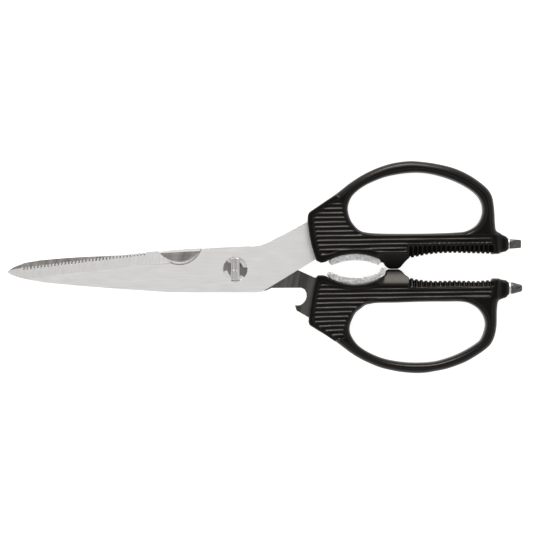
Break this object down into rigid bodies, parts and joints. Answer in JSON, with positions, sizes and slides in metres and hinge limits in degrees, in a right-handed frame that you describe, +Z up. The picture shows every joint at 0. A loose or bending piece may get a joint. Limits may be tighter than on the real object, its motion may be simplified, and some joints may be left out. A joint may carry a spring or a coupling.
{
  "type": "poultry shears",
  "caption": "Take-apart poultry shears with a serrated blade, bone notch, cap lifter, nutcracker jaws, toothed bottle grip and driver tips on moulded looped handles.",
  "frame": {"origin": "centre of the bounding box in X and Y, on the table the shears lie on", "axes": "+X from the blade tips to the handles, +Y to the handle of the front blade, +Z up out of the table"},
  "size_m": [0.254, 0.1044, 0.012],
  "materials": {
    "front_blade_steel": "satin, brushed along the blade",
    "rear_blade_steel": "darker ground inner face",
    "pivot_steel": "satin",
    "handle_plastic": "fine moulded texture",
    "jaw_chrome": "bright, rough toothed edge",
    "ferrule_chrome": "bright",
    "bit_steel": "satin"
  },
  "bodies": {
    "rear_half": {"rear_blade": "rear_blade_steel", "lower_handle": "handle_plastic", "lower_jaw_insert": "jaw_chrome", "lower_bit_ferrule": "ferrule_chrome", "cross_driver_bit": "bit_steel", "pivot_stud": "pivot_steel", "pivot_back_washer": "pivot_steel"},
    "front_half": {"front_blade": "front_blade_steel", "upper_handle": "handle_plastic", "upper_jaw_insert": "jaw_chrome", "upper_bit_ferrule": "ferrule_chrome", "flat_driver_bit": "bit_steel"}
  },
  "joints": [
    {"name": "blade_pivot", "type": "hinge", "parent": "rear_half", "child": "front_half", "pos_m": [-0.0145, -0.00102, 0.006], "axis": [0, 0, 1], "range_deg": [0, 107.5]}
  ]
}
